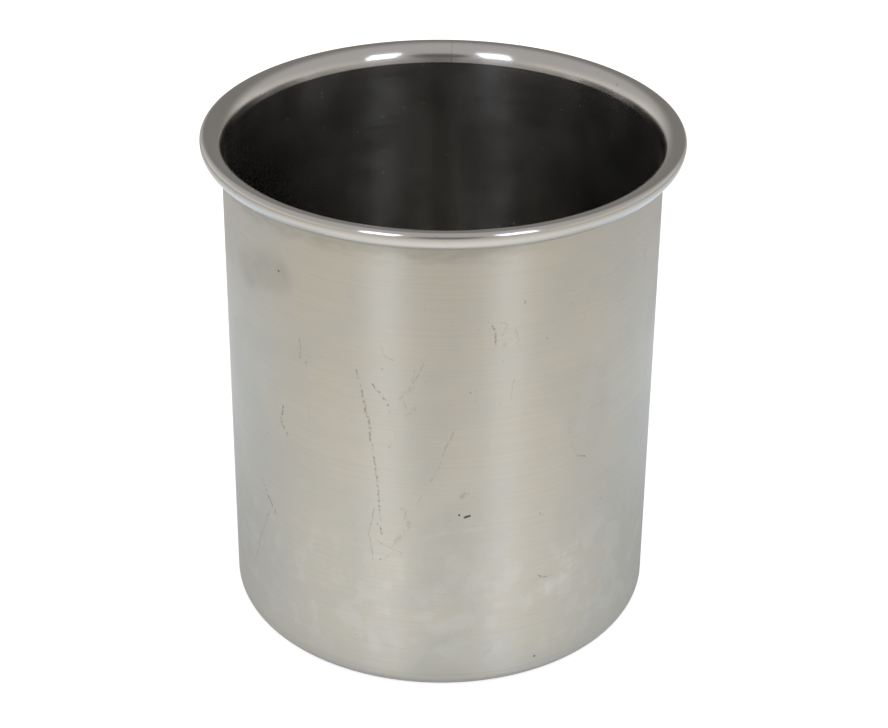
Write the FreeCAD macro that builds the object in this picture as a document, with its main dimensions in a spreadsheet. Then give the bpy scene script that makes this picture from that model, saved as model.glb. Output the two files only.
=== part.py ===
import FreeCAD, Part
import math
import os
import Sketcher

# Deep drawn steel cup. One round blank is drawn into a straight-walled cup, then its mouth is
# flared outward and rolled over into a curled rim. The sheet keeps one thickness from the middle
# of the base to the cut edge of the curl, so the whole cup is one closed section turned about Z.
# Frame: origin at the centre of the underside of the base, +Z up through the mouth, millimetres.

NODE = "cup"

# Each size can be set by itself. A bend radius is that of the inside of the bend, where the tool
# touches the sheet; the outside of every bend is one sheet thickness larger.
SIZES = [
    ("body_diameter", 110.0, "outside of the straight wall"),
    ("cup_height", 132.0, "underside of the base to the crest of the rim"),
    ("sheet_thickness", 0.8, "the same all over"),
    ("base_bend_radius", 4.2, "nose of the punch, between base and wall"),
    ("lip_bend_radius", 0.2, "sharp break between the wall and the flare"),
    ("lip_sweep", 11.0, "degrees that the sheet turns outward at that break"),
    ("flare_bend_radius", 3.9, "where the sheet turns on outward, up to the crest"),
    ("roll_bend_radius", 0.6, "tight turn from the crest over the outer edge"),
    ("curl_sweep", 102.0, "degrees that the under-curl turns, from the outer edge to its end"),
    ("curl_gap", 0.5, "clearance between the wall and the cut edge of the curl"),
]

# Points of a sketch line or arc, and the two fixed geometries of every sketch.
START, END, CENTRE = 1, 2, 3
ROOT_POINT = (-1, START)

# The section's edges that run smoothly into each other. Arcs run counter-clockwise from START to
# END. "hidden" edges face the hollow inside the curl, "shown" edges face outward.
SMOOTH_JOINTS = [
    ("underside", END, "base_outside", START),
    ("base_outside", END, "wall_outside", START),
    ("wall_outside", END, "lip_hidden", END),
    ("lip_hidden", START, "flare_hidden", END),
    ("flare_hidden", START, "roll_hidden", END),
    ("roll_hidden", START, "curl_hidden", END),
    ("curl_shown", END, "roll_shown", START),
    ("roll_shown", END, "flare_shown", START),
    ("flare_shown", END, "lip_shown", START),
    ("lip_shown", END, "wall_inside", START),
    ("wall_inside", END, "base_inside", END),
    ("base_inside", START, "floor", START),
]

# The section's four square corners: two at the cut edge of the curl, two on the cup's axis.
SQUARE_CORNERS = [
    ("curl_hidden", START, "cut_edge", START),
    ("cut_edge", END, "curl_shown", START),
    ("floor", END, "axis", START),
    ("axis", END, "underside", START),
]

# Both faces of a bend share its centre, which keeps the sheet one thickness all the way round.
BENDS = [
    ("base_outside", "base_inside"),
    ("lip_hidden", "lip_shown"),
    ("flare_hidden", "flare_shown"),
    ("roll_hidden", "roll_shown"),
    ("curl_hidden", "curl_shown"),
]


def make_sheet(doc):
    """The spreadsheet of driving dimensions: name, value and meaning, one size to a row."""
    sheet = doc.addObject("Spreadsheet::Sheet", "Sizes")
    for row, (name, value, meaning) in enumerate(SIZES, start=1):
        sheet.set(f"A{row}", name)
        sheet.set(f"B{row}", str(value))
        sheet.set(f"C{row}", meaning)
        sheet.setAlias(f"B{row}", name)
    doc.recompute()
    return sheet


def arc(centre, radius, start, end):
    """An arc drawn counter-clockwise between two angles in degrees."""
    circle = Part.Circle(centre, FreeCAD.Vector(0, 0, 1), radius)
    return Part.ArcOfCircle(circle, math.radians(start), math.radians(end))


def section_edges(sheet):
    """The edges of the sheet's section, drawn where the sizes put them: X is the radius from the
    cup's axis, Y the height above the table."""
    thick = sheet.sheet_thickness
    wall = sheet.body_diameter / 2
    base_outer = sheet.base_bend_radius + thick
    lip_outer = sheet.lip_bend_radius + thick
    flare_outer = sheet.flare_bend_radius + thick
    roll_outer = sheet.roll_bend_radius + thick
    break_end = 180 - sheet.lip_sweep
    break_away = FreeCAD.Vector(math.cos(math.radians(break_end)),
                                math.sin(math.radians(break_end)))
    past_down = math.radians(sheet.curl_sweep - 90)
    curl_end = -sheet.curl_sweep

    base_centre = FreeCAD.Vector(wall - base_outer, base_outer)
    to_lip = break_away * (flare_outer - lip_outer)
    flare_centre = FreeCAD.Vector(wall + sheet.lip_bend_radius - to_lip.x,
                                  sheet.cup_height - flare_outer)
    lip_centre = flare_centre + to_lip
    roll_centre = FreeCAD.Vector(flare_centre.x, sheet.cup_height - roll_outer)
    overhang = roll_centre.x + roll_outer - wall
    curl_outer = (overhang - sheet.curl_gap) / (1 + math.sin(past_down))
    curl_centre = FreeCAD.Vector(wall + overhang - curl_outer, roll_centre.y)

    edges = {
        "base_outside": arc(base_centre, base_outer, -90, 0),
        "base_inside": arc(base_centre, sheet.base_bend_radius, -90, 0),
        "lip_hidden": arc(lip_centre, sheet.lip_bend_radius, break_end, 180),
        "lip_shown": arc(lip_centre, lip_outer, break_end, 180),
        "flare_hidden": arc(flare_centre, sheet.flare_bend_radius, 90, break_end),
        "flare_shown": arc(flare_centre, flare_outer, 90, break_end),
        "roll_hidden": arc(roll_centre, sheet.roll_bend_radius, 0, 90),
        "roll_shown": arc(roll_centre, roll_outer, 0, 90),
        "curl_hidden": arc(curl_centre, curl_outer - thick, curl_end, 0),
        "curl_shown": arc(curl_centre, curl_outer, curl_end, 0),
    }
    bottom = FreeCAD.Vector(0, 0)
    top = FreeCAD.Vector(0, thick)
    straight = {
        "underside": (bottom, edges["base_outside"].StartPoint),
        "wall_outside": (edges["base_outside"].EndPoint, edges["lip_hidden"].EndPoint),
        "cut_edge": (edges["curl_hidden"].StartPoint, edges["curl_shown"].StartPoint),
        "wall_inside": (edges["lip_shown"].EndPoint, edges["base_inside"].EndPoint),
        "floor": (edges["base_inside"].StartPoint, top),
        "axis": (top, bottom),
    }
    for name, ends in straight.items():
        edges[name] = Part.LineSegment(*ends)
    return edges


def draw_section(sketch, sheet):
    """Draw the sheet's section in the sketch, fully constrained and driven by the spreadsheet."""
    edges = section_edges(sheet)
    index = {name: sketch.addGeometry(edge, False) for name, edge in edges.items()}

    def constrain(kind, *where):
        return sketch.addConstraint(Sketcher.Constraint(kind, *where))

    def drive(name, expression, kind, *where):
        """A dimension that takes its value from the spreadsheet."""
        sketch.renameConstraint(constrain(kind, *where), name)
        sketch.setExpression(f"Constraints.{name}", expression)

    for first, first_point, second, second_point in SMOOTH_JOINTS:
        constrain("Tangent", index[first], first_point, index[second], second_point)
    for first, first_point, second, second_point in SQUARE_CORNERS:
        constrain("Coincident", index[first], first_point, index[second], second_point)
    for outer, inner in BENDS:
        constrain("Coincident", index[outer], CENTRE, index[inner], CENTRE)
    constrain("Coincident", index["underside"], START, *ROOT_POINT)
    for name in ("underside", "floor"):
        constrain("Horizontal", index[name])
    for name in ("axis", "wall_outside", "wall_inside"):
        constrain("Vertical", index[name])

    # The flare hands over to the roll at the crest, and the roll to the under-curl at the outer
    # edge. The cut edge is square to the sheet, so it points at the centre of the curl.
    constrain("Vertical", index["flare_shown"], START, index["flare_shown"], CENTRE)
    constrain("Horizontal", index["roll_shown"], START, index["roll_shown"], CENTRE)
    constrain("PointOnObject", index["curl_shown"], CENTRE, index["cut_edge"])

    wall = edges["wall_outside"].StartPoint.x
    cut_angle = math.radians(180 - sheet.curl_sweep) + math.pi
    drive("wall_radius", "Sizes.body_diameter / 2",
          "DistanceX", *ROOT_POINT, index["wall_outside"], START, wall)
    drive("crest_height", "Sizes.cup_height",
          "DistanceY", *ROOT_POINT, index["flare_shown"], START, sheet.cup_height)
    drive("thickness", "Sizes.sheet_thickness",
          "DistanceY", *ROOT_POINT, index["floor"], END, sheet.sheet_thickness)
    drive("base_bend", "Sizes.base_bend_radius",
          "Radius", index["base_inside"], sheet.base_bend_radius)
    drive("lip_bend", "Sizes.lip_bend_radius",
          "Radius", index["lip_hidden"], sheet.lip_bend_radius)
    drive("lip_turn", "Sizes.lip_sweep * 1 deg",
          "Angle", index["lip_shown"], math.radians(sheet.lip_sweep))
    drive("flare_bend", "Sizes.flare_bend_radius",
          "Radius", index["flare_hidden"], sheet.flare_bend_radius)
    drive("roll_bend", "Sizes.roll_bend_radius",
          "Radius", index["roll_hidden"], sheet.roll_bend_radius)
    drive("gap_to_wall", "Sizes.curl_gap",
          "DistanceX", index["wall_outside"], END, index["curl_shown"], START, sheet.curl_gap)
    drive("cut_direction", "(360 - Sizes.curl_sweep) * 1 deg",
          "Angle", index["cut_edge"], cut_angle)


def make_cup(doc, sheet):
    """The cup: the section turned once round its axis."""
    body = doc.addObject("PartDesign::Body", "Cup")
    body.Label = NODE
    body.Placement = FreeCAD.Placement()
    section = body.newObject("Sketcher::SketchObject", "SheetSection")
    plane = next(item for item in body.Origin.OriginFeatures if item.Role == "XZ_Plane")
    section.AttachmentSupport = [(plane, "")]
    section.MapMode = "FlatFace"
    draw_section(section, sheet)
    doc.recompute()

    turned = body.newObject("PartDesign::Revolution", "DrawnSheet")
    turned.Profile = section
    turned.ReferenceAxis = (section, ["V_Axis"])
    turned.Angle = 360.0
    body.Tip = turned
    doc.recompute()
    return body


def check(doc, body):
    """Stop before anything is written if the document or the solid is not sound."""
    for item in doc.Objects:
        if "Invalid" in item.State or "Error" in item.State:
            raise RuntimeError(f"{item.Label} did not rebuild: {item.State}")
    for sketch in doc.findObjects("Sketcher::SketchObject"):
        if sketch.solve() != 0 or not sketch.FullyConstrained:
            raise RuntimeError(f"{sketch.Label} is not fully constrained")
    shape = body.Shape
    if shape.isNull() or not shape.isValid() or len(shape.Solids) != 1:
        raise RuntimeError(f"{body.Label} is not one valid solid")


def main():
    os.makedirs("parts", exist_ok=True)
    doc = FreeCAD.newDocument("DrawnCup")
    sheet = make_sheet(doc)
    cup = make_cup(doc, sheet)
    check(doc, cup)
    cup.Shape.exportStep(f"parts/{NODE}.step")
    box = cup.Shape.optimalBoundingBox()
    print(f"{NODE}: {box.XLength:.2f} x {box.YLength:.2f} x {box.ZLength:.2f} mm, "
          f"{cup.Shape.Volume / 1000:.2f} cm3 of sheet")


main()
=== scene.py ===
import math

import bmesh
import bpy
from mathutils import Matrix, Vector


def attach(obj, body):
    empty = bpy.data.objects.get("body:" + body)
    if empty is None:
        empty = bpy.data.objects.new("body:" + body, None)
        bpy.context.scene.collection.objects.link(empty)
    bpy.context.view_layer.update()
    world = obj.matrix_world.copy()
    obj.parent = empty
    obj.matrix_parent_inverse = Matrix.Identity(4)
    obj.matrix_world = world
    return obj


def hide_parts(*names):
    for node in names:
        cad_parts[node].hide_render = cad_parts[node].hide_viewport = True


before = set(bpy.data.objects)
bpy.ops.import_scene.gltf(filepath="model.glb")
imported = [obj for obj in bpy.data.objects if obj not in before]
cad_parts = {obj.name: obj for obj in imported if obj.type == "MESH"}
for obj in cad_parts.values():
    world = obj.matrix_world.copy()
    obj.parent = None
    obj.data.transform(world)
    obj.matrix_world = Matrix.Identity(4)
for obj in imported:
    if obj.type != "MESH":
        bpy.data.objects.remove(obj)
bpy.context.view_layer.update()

# ---- The drawn cup ---------------------------------------------------------------------------
# One sheet of stainless steel, drawn through a die into a straight-walled cup. Its mouth is
# broken outward, flared, turned over tightly at the edge and curled back under to the wall. It
# was polished on a lathe, so its fine lines run round it, and it has been handled since.

MM = 0.001
SHEET = 0.8 * MM
BODY_RADIUS = 55.0 * MM
CUP_HEIGHT = 132.0 * MM
BASE_BEND = 4.2 * MM
LIP_BEND = 0.2 * MM
LIP_SWEEP = math.radians(13)
FLARE_FOOT = 1.1 * MM
FLARE_BEND = 3.67 * MM
ROLL_BEND = 0.6 * MM
CURL_SWEEP = math.radians(102)
CURL_GAP = 0.5 * MM
SHARP_EDGE = math.radians(40)
MERGE_GAP = 0.001 * MM
STEPS_ROUND = 320


def lay_straight(bm, tip, radius, height, steps):
    """Draw the sheet's section on from its last point, straight to a radius and height."""
    start = tip.co.copy()
    goal = Vector((radius, 0, height))
    for step in range(steps):
        made = bmesh.ops.extrude_vert_indiv(bm, verts=[tip])
        tip = made["verts"][0]
        tip.co = start.lerp(goal, (step + 1) / steps)
    return tip


def lay_bend(bm, tip, centre, angle, steps):
    """Draw the section on round a bend; a positive angle turns it up from the floor."""
    made = bmesh.ops.spin(bm, geom=[tip], cent=centre, axis=(0, 1, 0), dvec=(0, 0, 0),
                          angle=-angle, steps=steps, use_duplicate=False)
    return next(item for item in made["geom_last"] if isinstance(item, bmesh.types.BMVert))


def draw_section(bm):
    """The shown face of the sheet, from the middle of the floor to the end of the curl. From the
    wall on it is the outer face of every bend, one sheet further out than the bend's own size."""
    wall = BODY_RADIUS - SHEET
    lip = LIP_BEND + SHEET
    flare = FLARE_BEND + SHEET
    roll = ROLL_BEND + SHEET
    floor_edge = wall - BASE_BEND
    out = Vector((math.cos(LIP_SWEEP), 0, -math.sin(LIP_SWEEP)))
    up = Vector((math.sin(LIP_SWEEP), 0, math.cos(LIP_SWEEP)))
    lip_centre = Vector((wall + lip, 0, 0))
    foot_start = lip_centre - out * lip
    foot_end = foot_start + up * FLARE_FOOT
    flare_centre = foot_end + out * flare
    rise = Vector((0, 0, CUP_HEIGHT - flare - flare_centre.z))
    lip_centre += rise
    foot_end += rise
    flare_centre += rise
    crest = flare_centre.x
    roll_centre = Vector((crest, 0, CUP_HEIGHT - roll))
    overhang = crest + roll - BODY_RADIUS
    curl = (overhang - CURL_GAP) / (1 + math.sin(CURL_SWEEP - math.pi / 2))
    curl_centre = roll_centre + Vector((roll - curl, 0, 0))

    tip = bm.verts.new((0, 0, SHEET))
    tip = lay_straight(bm, tip, floor_edge, SHEET, steps=6)
    tip = lay_bend(bm, tip, (floor_edge, 0, SHEET + BASE_BEND), math.pi / 2, steps=12)
    tip = lay_straight(bm, tip, wall, lip_centre.z, steps=12)
    tip = lay_bend(bm, tip, lip_centre, -LIP_SWEEP, steps=4)
    tip = lay_straight(bm, tip, foot_end.x, foot_end.z, steps=2)
    tip = lay_bend(bm, tip, flare_centre, LIP_SWEEP - math.pi / 2, steps=18)
    tip = lay_bend(bm, tip, roll_centre, -math.pi / 2, steps=14)
    lay_bend(bm, tip, curl_centre, -CURL_SWEEP, steps=18)


def measure_section(bm):
    """Note on each point how far along the sheet it lies, and return the whole length."""
    along = bm.verts.layers.float.new("along")
    run = 0.0
    last = bm.verts[0].co.copy()
    for vert in bm.verts:
        run += (vert.co - last).length
        last = vert.co.copy()
        vert[along] = run
    return run


def unroll(bm, length):
    """UV map of the sheet: U once round the cup, V from the middle of the floor to the curl."""
    along = bm.verts.layers.float["along"]
    unrolled = bm.loops.layers.uv.new("unrolled sheet")
    for face in bm.faces:
        middle = face.calc_center_median()
        facing = math.atan2(middle.x, -middle.y)
        for loop in face.loops:
            here = loop.vert.co
            turn = math.atan2(here.x, -here.y) if here.xy.length > MM else facing
            turn += math.tau * round((facing - turn) / math.tau)
            loop[unrolled].uv = (0.5 + turn / math.tau, loop.vert[along] / length)


def make_cup():
    """The section turned once round the axis, then given the thickness of the sheet."""
    bm = bmesh.new()
    draw_section(bm)
    bm.verts.ensure_lookup_table()
    length = measure_section(bm)
    bmesh.ops.spin(bm, geom=bm.verts[:] + bm.edges[:], cent=(0, 0, 0), axis=(0, 0, 1),
                   dvec=(0, 0, 0), angle=math.tau, steps=STEPS_ROUND, use_merge=True,
                   use_duplicate=False)
    bmesh.ops.remove_doubles(bm, verts=bm.verts[:], dist=MERGE_GAP)
    bmesh.ops.recalc_face_normals(bm, faces=bm.faces[:])
    bmesh.ops.solidify(bm, geom=bm.faces[:], thickness=SHEET)
    for face in bm.faces:
        face.smooth = True
    for edge in bm.edges:
        edge.smooth = edge.calc_face_angle(0) < SHARP_EDGE
    unroll(bm, length)
    mesh = bpy.data.meshes.new("drawn_cup")
    bm.to_mesh(mesh)
    bm.free()
    return bpy.data.objects.new("drawn_cup", mesh)


def linear(hex_colour):
    """An sRGB hex colour as linear red, green, blue and alpha."""
    parts = [int(hex_colour[place:place + 2], 16) / 255 for place in (1, 3, 5)]
    return [c / 12.92 if c <= 0.04045 else ((c + 0.055) / 1.055) ** 2.4 for c in parts] + [1.0]


def add_node(tree, kind, inputs, **settings):
    """Add a node; each input is given a plain value or the output that it reads."""
    made = tree.nodes.new(kind)
    for name, value in settings.items():
        setattr(made, name, value)
    for name, value in inputs.items():
        if isinstance(value, bpy.types.NodeSocket):
            tree.links.new(value, made.inputs[name])
        else:
            made.inputs[name].default_value = value
    return made


def fade(tree, value, start, end, low=0.0, high=1.0):
    """A value that eases from low to high as another goes from start to end."""
    return add_node(tree, "ShaderNodeMapRange", {
        "Value": value, "From Min": start, "From Max": end, "To Min": low, "To Max": high,
    }, interpolation_type="SMOOTHSTEP").outputs[0]


def combine(tree, operation, *values):
    """Values multiplied, added or otherwise joined one after the other."""
    joined = values[0]
    for value in values[1:]:
        joined = add_node(tree, "ShaderNodeMath", {0: joined, 1: value},
                          operation=operation).outputs[0]
    return joined


def speckle(tree, place, size, detail=2.0, low=0.35, high=0.65):
    """Soft cloudy noise of a given size in millimetres, spread out to reach from 0 to 1."""
    noise = add_node(tree, "ShaderNodeTexNoise", {
        "Vector": place, "Scale": 1 / size, "Detail": detail,
    })
    return fade(tree, noise.outputs["Fac"], low, high)


def scratch(tree, place, width, *points):
    """A scratch through points given as millimetres round the wall and up it."""
    nearest = None
    for start, end in zip(points, points[1:]):
        reach = Vector((end[0] - start[0], end[1] - start[1], 0))
        from_start = add_node(tree, "ShaderNodeVectorMath", {0: place, 1: (*start, 0)},
                              operation="SUBTRACT")
        share = add_node(tree, "ShaderNodeVectorMath", {
            0: from_start.outputs[0], 1: reach / reach.length_squared,
        }, operation="DOT_PRODUCT")
        held = add_node(tree, "ShaderNodeClamp", {"Value": share.outputs["Value"]})
        foot = add_node(tree, "ShaderNodeVectorMath", {0: reach, "Scale": held.outputs[0]},
                        operation="SCALE")
        gap = add_node(tree, "ShaderNodeVectorMath", {
            0: from_start.outputs[0], 1: foot.outputs[0],
        }, operation="DISTANCE").outputs["Value"]
        nearest = gap if nearest is None else combine(tree, "MINIMUM", nearest, gap)
    return fade(tree, nearest, width, 0.25 * width)


def stray_scratches(tree, place, spacing, width, share):
    """Short scratches at all angles, one in each cell of a given spacing that has any."""
    cells = add_node(tree, "ShaderNodeTexVoronoi", {"Vector": place, "Scale": 1 / spacing},
                     voronoi_dimensions="2D")
    chance = add_node(tree, "ShaderNodeSeparateXYZ", {0: cells.outputs["Color"]})
    from_middle = add_node(tree, "ShaderNodeVectorMath", {
        0: place, 1: cells.outputs["Position"],
    }, operation="SUBTRACT")
    angle = combine(tree, "MULTIPLY", chance.outputs["X"], math.pi)
    turned = add_node(tree, "ShaderNodeVectorRotate", {
        "Vector": from_middle.outputs[0], "Angle": angle,
    }, rotation_type="Z_AXIS")
    across = add_node(tree, "ShaderNodeSeparateXYZ", {0: turned.outputs[0]})
    bow = combine(tree, "MULTIPLY", across.outputs["Y"], across.outputs["Y"], 0.4 / spacing)
    off_line = combine(tree, "ABSOLUTE", combine(tree, "ADD", across.outputs["X"], bow), 0.0)
    from_end = combine(tree, "ABSOLUTE", across.outputs["Y"], 0.0)
    return combine(tree, "MULTIPLY",
                   fade(tree, off_line, width, 0.25 * width),
                   fade(tree, from_end, 0.42 * spacing, 0.15 * spacing),
                   combine(tree, "LESS_THAN", chance.outputs["Y"], share),
                   chance.outputs["Z"])


def pits(tree, place, spacing, size, share):
    """Small round pits, one in each cell of a given spacing that has any."""
    cells = add_node(tree, "ShaderNodeTexVoronoi", {"Vector": place, "Scale": 1 / spacing},
                     voronoi_dimensions="2D")
    chance = add_node(tree, "ShaderNodeSeparateXYZ", {0: cells.outputs["Color"]})
    reach = size / spacing
    return combine(tree, "MULTIPLY",
                   fade(tree, cells.outputs["Distance"], reach, 0.3 * reach),
                   combine(tree, "LESS_THAN", chance.outputs["X"], share))


def places_on_cup(tree):
    """Millimetres on the cup: in space, out from its axis, round the wall from the front, up
    from the table, and along the sheet from the middle of the floor."""
    corner = add_node(tree, "ShaderNodeTexCoord", {})
    here = add_node(tree, "ShaderNodeVectorMath", {
        0: corner.outputs["Object"], "Scale": 1 / MM,
    }, operation="SCALE").outputs[0]
    flat = add_node(tree, "ShaderNodeVectorMath", {0: here, 1: (1, 1, 0)}, operation="MULTIPLY")
    radius = add_node(tree, "ShaderNodeVectorMath", {0: flat.outputs[0]},
                      operation="LENGTH").outputs["Value"]
    at = add_node(tree, "ShaderNodeSeparateXYZ", {0: here})
    forward = combine(tree, "MULTIPLY", at.outputs["Y"], -1.0)
    turn = combine(tree, "ARCTAN2", at.outputs["X"], forward)
    round_wall = combine(tree, "MULTIPLY", turn, BODY_RADIUS / MM)
    along = add_node(tree, "ShaderNodeAttribute", {}, attribute_name="along").outputs["Fac"]
    along_mm = combine(tree, "MULTIPLY", along, 1 / MM)
    return here, radius, round_wall, at.outputs["Z"], along_mm


# The real polishing lines are finer than a tenth of a millimetre. They are drawn four times as
# coarse, so that they show.
LINE_SPACING = 0.42
LINE_LENGTH = 45.0


def polishing_lines(tree, here, along_mm):
    """Noise drawn out into lines that run round the cup."""
    at = add_node(tree, "ShaderNodeSeparateXYZ", {0: here})
    drawn_out = add_node(tree, "ShaderNodeCombineXYZ", {
        0: combine(tree, "MULTIPLY", at.outputs["X"], 1 / LINE_LENGTH),
        1: combine(tree, "MULTIPLY", at.outputs["Y"], 1 / LINE_LENGTH),
        2: combine(tree, "MULTIPLY", along_mm, 1 / LINE_SPACING),
    })
    return add_node(tree, "ShaderNodeTexNoise", {
        "Vector": drawn_out.outputs[0], "Scale": 1.0, "Detail": 3.0, "Roughness": 0.6,
    }).outputs["Fac"]


WOBBLE_SPACING = 5.0
WOBBLE_WIDTH = 2.0


def wobbled(tree, here, on_wall):
    """Places on the wall moved by up to a millimetre, so that no scratch is ruled straight."""
    wobble = add_node(tree, "ShaderNodeTexNoise", {
        "Vector": here, "Scale": 1 / WOBBLE_SPACING, "Detail": 3.0,
    })
    sway = add_node(tree, "ShaderNodeVectorMath", {
        0: wobble.outputs["Color"], 1: (0.5, 0.5, 0.5),
    }, operation="SUBTRACT")
    swayed = add_node(tree, "ShaderNodeVectorMath", {
        0: sway.outputs[0], 1: (WOBBLE_WIDTH, WOBBLE_WIDTH, 0.0),
    }, operation="MULTIPLY")
    return add_node(tree, "ShaderNodeVectorMath", {0: on_wall, 1: swayed.outputs[0]},
                    operation="ADD").outputs[0]


# The marks that can be told apart. Each row is a width and then the points that the mark runs
# through, in millimetres round the wall from the front and up from the table.
HAIRLINES = [
    (0.24, (-16.5, 53.7), (-17.9, 46.3), (-16.4, 38.3)),
    (0.24, (-15.5, 44.5), (-9.4, 41.3)),
    (0.24, (-36.3, 96), (-36.4, 90.7)),
    (0.22, (-14.2, 99.6), (-13.5, 96.8), (-11.5, 95.7)),
    (0.22, (14.1, 106.1), (15.8, 105.6), (14.4, 102.3)),
    (0.22, (17.9, 90.1), (17, 85.4)),
    (0.24, (-58.7, 20.1), (-53.9, 32.3), (-49.5, 40.8)),
    (0.24, (61, 110.7), (61.6, 106.3)),
    (0.44, (19.9, 111), (19.9, 110.4)),
]
DOTTED_SCRATCHES = [
    (0.46, (-20.5, 91.7), (-19, 86.6), (-17.6, 78.5), (-16.6, 70.3), (-15.7, 61.9), (-15, 53.4),
     (-14.5, 47)),
    (0.42, (-17, 89.2), (-14.5, 86.8), (-13, 84.3), (-12.1, 81.7)),
    (0.42, (11.7, 106.3), (12.7, 103.6), (12.8, 100.1)),
    (0.50, (-42.7, 74.8), (-43.6, 70.7), (-41.2, 66.3)),
    (0.50, (-52.9, 48.1), (-49.4, 43.9), (-47.3, 41.3)),
    (0.34, (-14.5, 39), (-13, 39.9)),
    (0.34, (25.4, 32.3), (27.2, 31), (30.5, 30.8)),
    (0.40, (36.6, 63.7), (38.6, 62.9)),
]
SCUFFS = [
    (1.0, (-9.9, 85.8), (-7, 88.9)),
    (0.8, (-8.4, 81), (-6, 83.4)),
    (1.0, (-9.2, 54.3), (-7.4, 49.8), (-12.2, 43.6)),
    (0.45, (3.8, 78.4), (1.2, 72), (-0.7, 66.3), (-3.8, 61.4)),
    (1.3, (4.7, 58), (6.6, 59.9)),
    (0.9, (15.2, 99.8), (16.2, 100.7)),
    (0.7, (17.8, 103.4), (18.7, 99.2)),
]
NICKS = [
    (0.36, (4.8, 53.6), (4.9, 53.5)),
    (0.52, (6.3, 52.9), (7.4, 53.1)),
    (0.40, (25.1, 6.8), (25.3, 6.9)),
    (0.34, (-43.4, 112), (-43.2, 111.9)),
]
SMUDGE = (8.5, (-56, 107.5), (-49, 109.6), (-44, 111))
SCRATCH_OVER_RIM = (0.16, (170.7, 127), (170.7, 140))
WIPE_MARK = (3.6, (37, 72), (41.5, 90))

# Rubs that left the wall paler. Each row starts with how strong the rub is.
PALE_RUBS = [
    (1.0, 2.6, (26.8, 26.6), (31.5, 28.4), (36.4, 30.8)),
    (0.6, 1.5, (31.2, 35.2), (37.4, 37.8)),
    (0.5, 1.2, (13, 28.8), (17, 29.8)),
    (0.45, 0.8, (-4, 46.4), (1, 48.2), (10.5, 49.1)),
]


def scratches(tree, place, rows):
    """All the scratches of one kind."""
    return combine(tree, "MAXIMUM", *[scratch(tree, place, *row) for row in rows])


def marks_of_use(tree, place, broken, small_clouds):
    """How far hairlines, scratches, scuffs, nicks and the smudge darken the wall."""
    faint_in_places = fade(tree, broken, 0.0, 1.0, 0.4, 1.0)
    return combine(
        tree, "MAXIMUM",
        combine(tree, "MULTIPLY", faint_in_places, scratches(tree, place, HAIRLINES), 0.30),
        combine(tree, "MULTIPLY", broken, scratches(tree, place, DOTTED_SCRATCHES), 0.38),
        combine(tree, "MULTIPLY", broken, scratches(tree, place, SCUFFS), 0.15),
        combine(tree, "MULTIPLY", scratches(tree, place, NICKS), 0.85),
        combine(tree, "MULTIPLY", fade(tree, small_clouds, 0.0, 1.0, 0.7, 1.0),
                scratch(tree, place, *SMUDGE), 0.16),
    )


def scattered_marks(tree, on_sheet, broken):
    """The small strays and pits that lie all over both faces of the sheet."""
    strays = combine(
        tree, "MAXIMUM",
        stray_scratches(tree, on_sheet, 9.0, 0.2, 0.20),
        stray_scratches(tree, on_sheet, 23.0, 0.24, 0.35),
    )
    specks = combine(
        tree, "MAXIMUM",
        pits(tree, on_sheet, 6.0, 0.24, 0.12),
        pits(tree, on_sheet, 19.0, 0.40, 0.25),
    )
    return combine(
        tree, "MAXIMUM",
        combine(tree, "MULTIPLY", broken, strays, 0.22),
        combine(tree, "MULTIPLY", specks, 0.30),
    )


def dull_skin(tree, here, round_wall, height):
    """The dull, pitted skin under the bead, where the wheel couldn't reach. It is widest at the
    front left and fades away to the right."""
    level = add_node(tree, "ShaderNodeVectorMath", {0: here, 1: (0.3, 0.3, 1.0)},
                     operation="MULTIPLY").outputs[0]
    skin = speckle(tree, level, 1.3, 3.0)
    ragged = combine(tree, "ADD", height, combine(tree, "MULTIPLY", skin, 1.4))
    from_widest = combine(tree, "ABSOLUTE", combine(tree, "ADD", round_wall, 28.0), 0.0)
    return combine(tree, "MULTIPLY",
                   fade(tree, ragged, 120.5, 125.5),
                   fade(tree, from_widest, 62.0, 38.0, 0.2, 1.0),
                   fade(tree, skin, 0.0, 1.0, 0.7, 1.0))


def corner_shade_line(tree, height):
    """A faint dark line painted where the wall runs into the base corner: painted shade that stands
    in for the shadowed floor reflected there.
    """
    corner_top = (BASE_BEND + SHEET) / MM
    gap = combine(tree, "ABSOLUTE", combine(tree, "SUBTRACT", height, corner_top), 0.0)
    return fade(tree, gap, 0.35, 0.1)


def pale_patches(tree, place, here, height, small_clouds):
    """How far rubbing, wiping and drying water have left the wall paler."""
    rubbed = combine(tree, "MAXIMUM", *[
        combine(tree, "MULTIPLY", scratch(tree, place, *row), strength)
        for strength, *row in PALE_RUBS
    ])
    wiped = scratch(tree, place, *WIPE_MARK)
    water_marks = combine(tree, "MULTIPLY", fade(tree, height, 48, 36), fade(tree, height, 6, 12),
                          speckle(tree, here, 6.0, 4.0, 0.48, 0.62))
    return combine(
        tree, "MAXIMUM",
        combine(tree, "MULTIPLY", rubbed, speckle(tree, here, 2.2, 3.0), 0.50),
        combine(tree, "MULTIPLY", wiped, small_clouds, 0.16),
        combine(tree, "MULTIPLY", water_marks, 0.20),
    )


# Millimetres up from the table to the foot of the bead, and between the two faces' small marks.
BEAD_FOOT = 127.3
FACES_APART = 700.0


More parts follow.
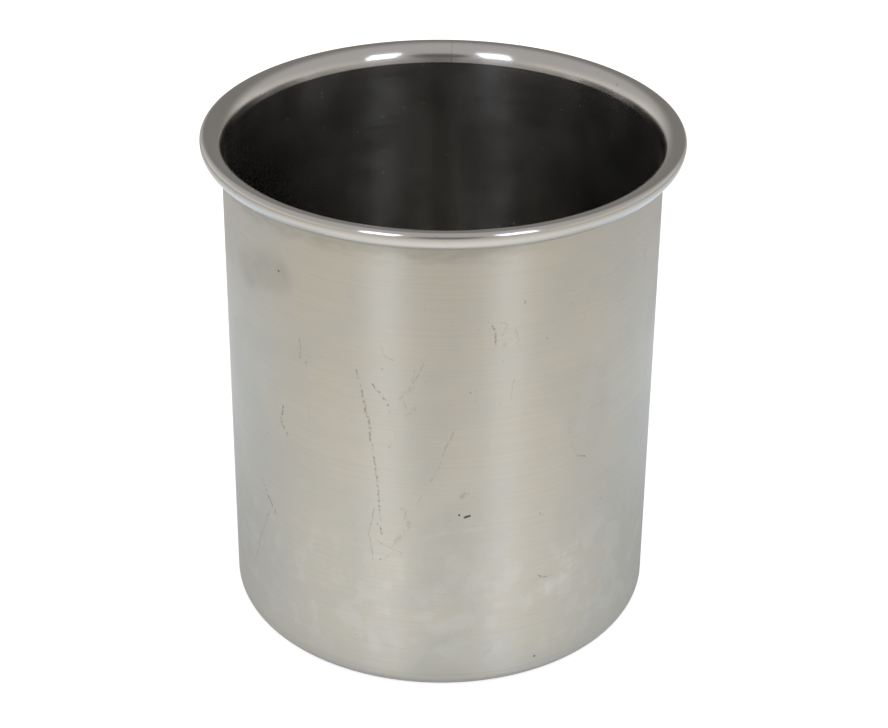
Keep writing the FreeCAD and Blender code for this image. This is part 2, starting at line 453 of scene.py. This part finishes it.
def polished_stainless_steel():
    """Stainless steel polished with a soft wheel while the cup turned: a warm grey mirror whose
    fine lines round the cup draw every light out into an upright streak."""
    material = bpy.data.materials.new("polished stainless steel")
    material.use_nodes = True
    tree = material.node_tree
    tree.nodes.clear()

    here, radius, round_wall, height, along_mm = places_on_cup(tree)
    wall_mm = BODY_RADIUS / MM
    sheet_mm = SHEET / MM
    outside = fade(tree, radius, wall_mm - 0.75 * sheet_mm, wall_mm - 0.25 * sheet_mm)
    bead = combine(tree, "MAXIMUM", fade(tree, height, BEAD_FOOT - 0.2, BEAD_FOOT + 0.2),
                   fade(tree, radius, wall_mm + 0.3, wall_mm + 0.6))
    plain_wall = combine(tree, "MULTIPLY", outside, combine(tree, "SUBTRACT", 1.0, bead))
    on_wall = add_node(tree, "ShaderNodeCombineXYZ", {0: round_wall, 1: height, 2: 0.0}).outputs[0]
    place = wobbled(tree, here, on_wall)

    # The two faces of the sheet are set far apart, so that they don't carry the same small marks.
    apart = combine(tree, "MULTIPLY", outside, FACES_APART)
    on_sheet = add_node(tree, "ShaderNodeCombineXYZ", {
        0: combine(tree, "ADD", round_wall, apart),
        1: along_mm,
        2: 0.0,
    }).outputs[0]

    lines = polishing_lines(tree, here, along_mm)
    clouds = speckle(tree, here, 17.0, 3.0)
    small_clouds = speckle(tree, here, 4.5, 3.0)
    broken = speckle(tree, here, 0.8, 1.0, 0.42, 0.60)
    wall_marks = combine(
        tree, "MAXIMUM",
        marks_of_use(tree, place, broken, small_clouds),
        combine(tree, "MULTIPLY", dull_skin(tree, here, round_wall, height), 0.16),
        # The dark line at the base corner is painted shade.
        combine(tree, "MULTIPLY", corner_shade_line(tree, height), 0.09),
        combine(tree, "MULTIPLY", fade(tree, lines, 0.62, 0.38), 0.045),
        combine(tree, "MULTIPLY", small_clouds, clouds, 0.05),
    )
    over_rim = combine(tree, "MULTIPLY", scratch(tree, on_wall, *SCRATCH_OVER_RIM),
                       fade(tree, broken, 0.0, 1.0, 0.5, 1.0), 0.32)
    dark = combine(
        tree, "MAXIMUM",
        combine(tree, "MULTIPLY", plain_wall, wall_marks),
        combine(tree, "MULTIPLY", bead, over_rim),
        scattered_marks(tree, on_sheet, broken),
    )

    # Clean metal runs from warmer cloudy patches to cooler ones. The bead is a little greyer. The
    # inside is greyer and darker, a painted shade that deepens the hollow. Every mark is darker than
    # the metal round it.
    tone = combine(tree, "ADD",
                   fade(tree, clouds, 0.0, 1.0, -0.18, 0.18),
                   fade(tree, small_clouds, 0.0, 1.0, -0.10, 0.10),
                   fade(tree, lines, 0.3, 0.7, -0.10, 0.10), 0.5)
    metal = add_node(tree, "ShaderNodeMix", {
        "Factor": tone, "A": linear("#C9C3B4"), "B": linear("#C9C8BE"),
    }, data_type="RGBA")
    pale = combine(tree, "MULTIPLY", plain_wall,
                   pale_patches(tree, place, here, height, small_clouds))
    wall = add_node(tree, "ShaderNodeMix", {
        "Factor": pale, "A": metal.outputs["Result"], "B": linear("#DCDED8"),
    }, data_type="RGBA")
    wall_and_bead = add_node(tree, "ShaderNodeMix", {
        "Factor": bead, "A": wall.outputs["Result"], "B": linear("#C6C3BC"),
    }, data_type="RGBA")
    # Inside the cup the colour is darker: painted shade in the hollow.
    clean = add_node(tree, "ShaderNodeMix", {
        "Factor": combine(tree, "MAXIMUM", outside, bead),
        "A": linear("#B6B4AF"),
        "B": wall_and_bead.outputs["Result"],
    }, data_type="RGBA")
    colour = add_node(tree, "ShaderNodeMix", {
        "Factor": dark, "A": clean.outputs["Result"], "B": linear("#4E4C48"),
    }, data_type="RGBA")

    # The wheel left the wall satin, the inside brighter and the bead brightest. Marks are rough
    # and a few thousandths of a millimetre deep.
    satin = add_node(tree, "ShaderNodeMix", {"Factor": outside, "A": 0.20, "B": 0.34})
    gloss = add_node(tree, "ShaderNodeMix", {
        "Factor": bead, "A": satin.outputs["Result"], "B": 0.165,
    })
    roughness = combine(tree, "ADD", gloss.outputs["Result"],
                        fade(tree, lines, 0.3, 0.7, -0.012, 0.012),
                        fade(tree, clouds, 0.0, 1.0, -0.015, 0.015),
                        combine(tree, "MULTIPLY", dark, 0.3))
    relief = combine(tree, "SUBTRACT", lines, combine(tree, "MULTIPLY", dark, 2.0))
    bump = add_node(tree, "ShaderNodeBump", {
        "Strength": 0.45, "Distance": 0.006 * MM, "Height": relief,
    })
    round_cup = add_node(tree, "ShaderNodeTangent", {}, direction_type="RADIAL", axis="Z")
    steel = add_node(tree, "ShaderNodeBsdfPrincipled", {
        "Base Color": colour.outputs["Result"],
        "Metallic": 1.0,
        "Roughness": roughness,
        "Anisotropic": 0.95,
        "Anisotropic Rotation": 0.25,
        "Tangent": round_cup.outputs[0],
        "Normal": bump.outputs[0],
    })
    add_node(tree, "ShaderNodeOutputMaterial", {"Surface": steel.outputs[0]})
    return material


cup = make_cup()
cup.data.materials.append(polished_stainless_steel())
bpy.context.scene.collection.objects.link(cup)
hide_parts("cup")
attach(cup, "root")

# ---- The table top ---------------------------------------------------------------------------
# A plain table of matt white board that the cup stands on. It isn't part of the cup: it takes
# the cup's shadow and shows in the steel.

TABLE_SIDE = 6.0


def white_table_top():
    """Matt white board. Its colour is a little bluer round the cup and warmer beyond, a painted tint
    of the light, and its glow paints light and shade. Distances are metres from its axis.
    """
    material = bpy.data.materials.new("white table top")
    material.use_nodes = True
    tree = material.node_tree
    tree.nodes.clear()
    path = add_node(tree, "ShaderNodeLightPath", {})
    corner = add_node(tree, "ShaderNodeTexCoord", {})
    away = add_node(tree, "ShaderNodeVectorMath", {0: corner.outputs["Object"]},
                    operation="LENGTH").outputs["Value"]
    parts = add_node(tree, "ShaderNodeSeparateXYZ", {0: corner.outputs["Object"]})
    behind = fade(tree, parts.outputs["Y"], -0.11, 0.06)
    # The board is bluer within 0.2 m of the cup and warmer beyond: a painted tint of the light on
    # it.
    board = add_node(tree, "ShaderNodeMix", {
        "Factor": fade(tree, away, 0.20, 0.22),
        "A": linear("#E4E6E8"),
        "B": linear("#D8D0C4"),
    }, data_type="RGBA")

    # In the steel the board glows with a painted pool of light round the cup, with painted shade in
    # the cup's shadow at its foot and behind it, where the glow is also bluer.
    lit = combine(tree, "MAXIMUM", combine(tree, "SUBTRACT", 1.0, behind),
                  fade(tree, away, 0.08, 0.17, 0.2, 1.0))
    painted_glow_in_steel = combine(tree, "MULTIPLY",
                       combine(tree, "MAXIMUM", path.outputs["Is Glossy Ray"],
                               path.outputs["Is Transmission Ray"]),
                       fade(tree, away, 0.10, 0.50, 0.56, 0.14),
                       fade(tree, away, 0.054, 0.072, 0.55, 1.0), lit)
    bluer = combine(tree, "MULTIPLY", behind,
                    combine(tree, "SUBTRACT", 1.0, path.outputs["Is Camera Ray"]))
    glow = add_node(tree, "ShaderNodeMix", {
        "Factor": bluer, "A": (1.0, 0.98, 0.94, 1), "B": (0.80, 0.95, 1.12, 1),
    }, data_type="RGBA")

    # Looked at straight, it glows up to white, so that only the cup's shadow shows on it. The glow
    # is a little weaker near the cup, which paints a faint shade round its foot.
    seen = combine(tree, "MULTIPLY", path.outputs["Is Camera Ray"],
                   fade(tree, away, 0.12, 0.40, 0.70, 0.92))
    paint = add_node(tree, "ShaderNodeBsdfPrincipled", {
        "Base Color": board.outputs["Result"],
        "Roughness": 0.9,
        "Specular IOR Level": 0.0,
        "Emission Color": glow.outputs["Result"],
        "Emission Strength": combine(tree, "ADD", painted_glow_in_steel, seen),
    })
    add_node(tree, "ShaderNodeOutputMaterial", {"Surface": paint.outputs[0]})
    return material


bm = bmesh.new()
bmesh.ops.create_grid(bm, x_segments=1, y_segments=1, size=TABLE_SIDE / 2)
table_mesh = bpy.data.meshes.new("table_top")
bm.to_mesh(table_mesh)
bm.free()
table_top = bpy.data.objects.new("table_top", table_mesh)
table_top.data.materials.append(white_table_top())
bpy.context.scene.collection.objects.link(table_top)

# ---- Light -----------------------------------------------------------------------------------
# Two soft boxes stand a metre off in front of the cup, one each side, in a pale room that is
# darker behind the cup and where the camera stands.

LAMP_AWAY = 1.05
LAMP_HEIGHT = 0.80
LAMP_WIDTH = 0.32
LAMP_LENGTH = 0.52
LAMP_RADIANCE = 4.2
LAMP_COLOUR = (0.88, 0.95, 1.12)


def soft_box(name, bearing):
    """An upright soft box at a bearing in degrees from the front, looking at the cup's mouth."""
    light = bpy.data.lights.new(name, "AREA")
    light.shape = "RECTANGLE"
    light.size = LAMP_WIDTH
    light.size_y = LAMP_LENGTH
    light.color = LAMP_COLOUR
    light.energy = LAMP_RADIANCE * math.pi * LAMP_WIDTH * LAMP_LENGTH
    lamp = bpy.data.objects.new(name, light)
    turn = math.radians(bearing)
    place = Vector((LAMP_AWAY * math.sin(turn), -LAMP_AWAY * math.cos(turn), LAMP_HEIGHT))
    aim = Vector((0, 0, CUP_HEIGHT)) - place
    lamp.matrix_world = Matrix.Translation(place) @ aim.to_track_quat("-Z", "Y").to_matrix().to_4x4()
    lamp.visible_camera = False
    bpy.context.scene.collection.objects.link(lamp)


soft_box("soft_box_left", -29.5)
soft_box("soft_box_right", 35.5)


def part_of_room(tree, towards, middle, reach, edge):
    """How far a direction lies inside an oval part of the room: 1 at its middle, 0 outside."""
    offset = add_node(tree, "ShaderNodeVectorMath", {0: towards, 1: middle},
                      operation="SUBTRACT")
    scaled = add_node(tree, "ShaderNodeVectorMath", {0: offset.outputs[0], 1: reach},
                      operation="DIVIDE")
    away = add_node(tree, "ShaderNodeVectorMath", {0: scaled.outputs[0]}, operation="LENGTH")
    return fade(tree, away.outputs["Value"], 1 + edge, 1 - edge)


def pale_room():
    """The room round the table: white where it is seen, and as light a pale grey dome that is
    brighter low down at both sides."""
    world = bpy.data.worlds.new("pale room")
    world.use_nodes = True
    tree = world.node_tree
    tree.nodes.clear()
    towards = add_node(tree, "ShaderNodeTexCoord", {}).outputs["Generated"]
    parts = add_node(tree, "ShaderNodeSeparateXYZ", {0: towards})
    side = combine(tree, "MAXIMUM", fade(tree, parts.outputs["X"], -0.45, -0.80),
                   fade(tree, parts.outputs["X"], 0.50, 0.85, 0.0, 0.8))
    walls = combine(tree, "MULTIPLY", side, fade(tree, parts.outputs["Z"], 0.62, 0.05))
    behind = part_of_room(tree, towards, (0.15, 1.0, 0.35), (0.55, 0.9, 0.62), 0.35)
    camera_stand = part_of_room(tree, towards, (0.04, -0.94, 0.33), (0.27, 0.6, 0.23), 0.25)
    ceiling = add_node(tree, "ShaderNodeMix", {
        "Factor": walls, "A": (0.61, 0.60, 0.62, 1), "B": (0.93, 0.90, 0.87, 1),
    }, data_type="RGBA")
    dimmed = add_node(tree, "ShaderNodeMix", {
        "Factor": behind, "A": ceiling.outputs["Result"], "B": (0.30, 0.29, 0.29, 1),
    }, data_type="RGBA")
    room = add_node(tree, "ShaderNodeMix", {
        "Factor": camera_stand, "A": dimmed.outputs["Result"], "B": (0.15, 0.15, 0.16, 1),
    }, data_type="RGBA")
    path = add_node(tree, "ShaderNodeLightPath", {})
    light = add_node(tree, "ShaderNodeBackground", {"Color": room.outputs["Result"]})
    backdrop = add_node(tree, "ShaderNodeBackground", {"Color": (1, 1, 1, 1)})
    mixed = add_node(tree, "ShaderNodeMixShader", {
        0: path.outputs["Is Camera Ray"],
        1: light.outputs[0],
        2: backdrop.outputs[0],
    })
    add_node(tree, "ShaderNodeOutputWorld", {"Surface": mixed.outputs[0]})
    return world


bpy.context.scene.world = pale_room()

# ---- Camera ----------------------------------------------------------------------------------
# It stands half a metre in front of the cup and looks down on it at about thirty degrees. It
# leans half a degree to one side.

CAMERA_BACK = 516.4 * MM
CAMERA_HEIGHT = 357.2 * MM
LOOK_DOWN = math.radians(29.53)
LOOK_ASIDE = math.radians(-0.08)
LEAN = math.radians(0.53)

camera_data = bpy.data.cameras.new("camera")
camera_data.sensor_width = 36
camera_data.lens = 91.74
camera = bpy.data.objects.new("camera", camera_data)
camera.matrix_world = (
    Matrix.Translation((0, -CAMERA_BACK, CAMERA_HEIGHT))
    @ Matrix.Rotation(LOOK_ASIDE, 4, "Z")
    @ Matrix.Rotation(math.pi / 2 - LOOK_DOWN, 4, "X")
    @ Matrix.Rotation(LEAN, 4, "Z")
)
bpy.context.scene.collection.objects.link(camera)
bpy.context.scene.camera = camera
bpy.context.scene.view_settings.view_transform = "Standard"
